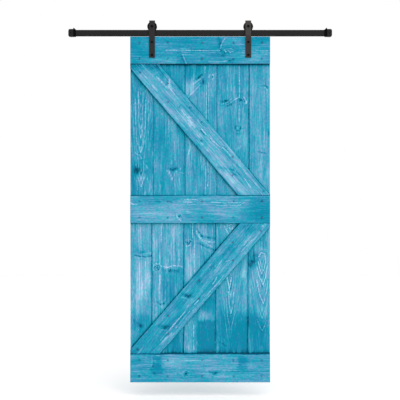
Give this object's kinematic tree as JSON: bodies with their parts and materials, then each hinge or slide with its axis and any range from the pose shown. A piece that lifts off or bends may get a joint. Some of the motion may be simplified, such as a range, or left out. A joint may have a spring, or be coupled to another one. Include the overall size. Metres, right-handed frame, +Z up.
{
  "type": "sliding barn door",
  "caption": "Face-mounted flat-track sliding barn door: stained plank leaf with diagonal braces, hung on strap hangers with grooved ball-bearing wheels, between end stops.",
  "frame": {"origin": "wall plane, on the line of the wall fixings, half-way along the track", "axes": "+X right as seen from the room, along the door's travel; +Y into the wall; +Z up"},
  "size_m": [1.628, 0.1055, 2.2354],
  "materials": {
    "stained_wood": "knotty pine with a turquoise stain, grain and pale raised streaks showing through, matte",
    "black_steel": "satin black powder coat",
    "black_fasteners": "black oxide",
    "wheel_black": "moulded and turned black nylon",
    "rubber": "soft black rubber",
    "bearing_steel": "ground bearing steel",
    "cage_nylon": "natural nylon",
    "wood_screw_steel": "bronze-toned zinc"
  },
  "bodies": {
    "track": {"track_rail": "black_steel", "wall_spacers": "black_steel", "wall_lag_screws": "black_fasteners", "end_stop_left": "black_steel", "end_stop_right": "black_steel", "stop_bumper_left": "rubber", "stop_bumper_right": "rubber", "stop_set_screws": "black_fasteners"},
    "door": {"anti_jump_discs": "black_steel", "anti_jump_screws": "black_fasteners", "axle_bolts": "black_fasteners", "axle_nuts": "black_fasteners", "axle_spacers": "bearing_steel", "bearing_inner_rings": "bearing_steel", "bottom_rail": "stained_wood", "bottom_rail_screws": "wood_screw_steel", "hanger_bolts": "black_fasteners", "hanger_left": "black_steel", "hanger_nuts": "black_fasteners", "hanger_right": "black_steel", "hanger_washers": "black_fasteners", "lower_board_1": "stained_wood", "lower_board_2": "stained_wood", "lower_board_3": "stained_wood", "lower_board_4": "stained_wood", "lower_board_5": "stained_wood", "lower_brace": "stained_wood", "lower_brace_screws": "wood_screw_steel", "middle_rail": "stained_wood", "middle_rail_screws": "wood_screw_steel", "top_rail": "stained_wood", "top_rail_screws": "wood_screw_steel", "upper_board_1": "stained_wood", "upper_board_2": "stained_wood", "upper_board_3": "stained_wood", "upper_board_4": "stained_wood", "upper_board_5": "stained_wood", "upper_brace": "stained_wood", "upper_brace_screws": "wood_screw_steel"},
    "wheel_left": {"wheel_left": "wheel_black", "bearing_outer_ring_left": "bearing_steel"},
    "wheel_right": {"wheel_right": "wheel_black", "bearing_outer_ring_right": "bearing_steel"},
    "ball_cage_left": {"bearing_cage_left": "cage_nylon", "bearing_balls_left": "bearing_steel"},
    "ball_cage_right": {"bearing_cage_right": "cage_nylon", "bearing_balls_right": "bearing_steel"}
  },
  "joints": [
    {"name": "door_slide", "type": "slide", "parent": "track", "child": "door", "axis": [1, 0, 0], "range_m": [-0.447, 0.447]},
    {"name": "wheel_left_spin", "type": "hinge", "parent": "door", "child": "wheel_left", "pos_m": [-0.297, -0.035, 0.04], "axis": [0, 1, 0], "continuous": true},
    {"name": "ball_cage_left_spin", "type": "hinge", "parent": "door", "child": "ball_cage_left", "pos_m": [-0.297, -0.035, 0.04], "axis": [0, 1, 0], "continuous": true},
    {"name": "wheel_right_spin", "type": "hinge", "parent": "door", "child": "wheel_right", "pos_m": [0.297, -0.035, 0.04], "axis": [0, 1, 0], "continuous": true},
    {"name": "ball_cage_right_spin", "type": "hinge", "parent": "door", "child": "ball_cage_right", "pos_m": [0.297, -0.035, 0.04], "axis": [0, 1, 0], "continuous": true}
  ],
  "couplings": [
    {"joint": "wheel_left_spin", "follows": "door_slide", "rad_per_m": 50},
    {"joint": "ball_cage_left_spin", "follows": "door_slide", "rad_per_m": 31.528},
    {"joint": "wheel_right_spin", "follows": "door_slide", "rad_per_m": 50},
    {"joint": "ball_cage_right_spin", "follows": "door_slide", "rad_per_m": 31.528}
  ]
}
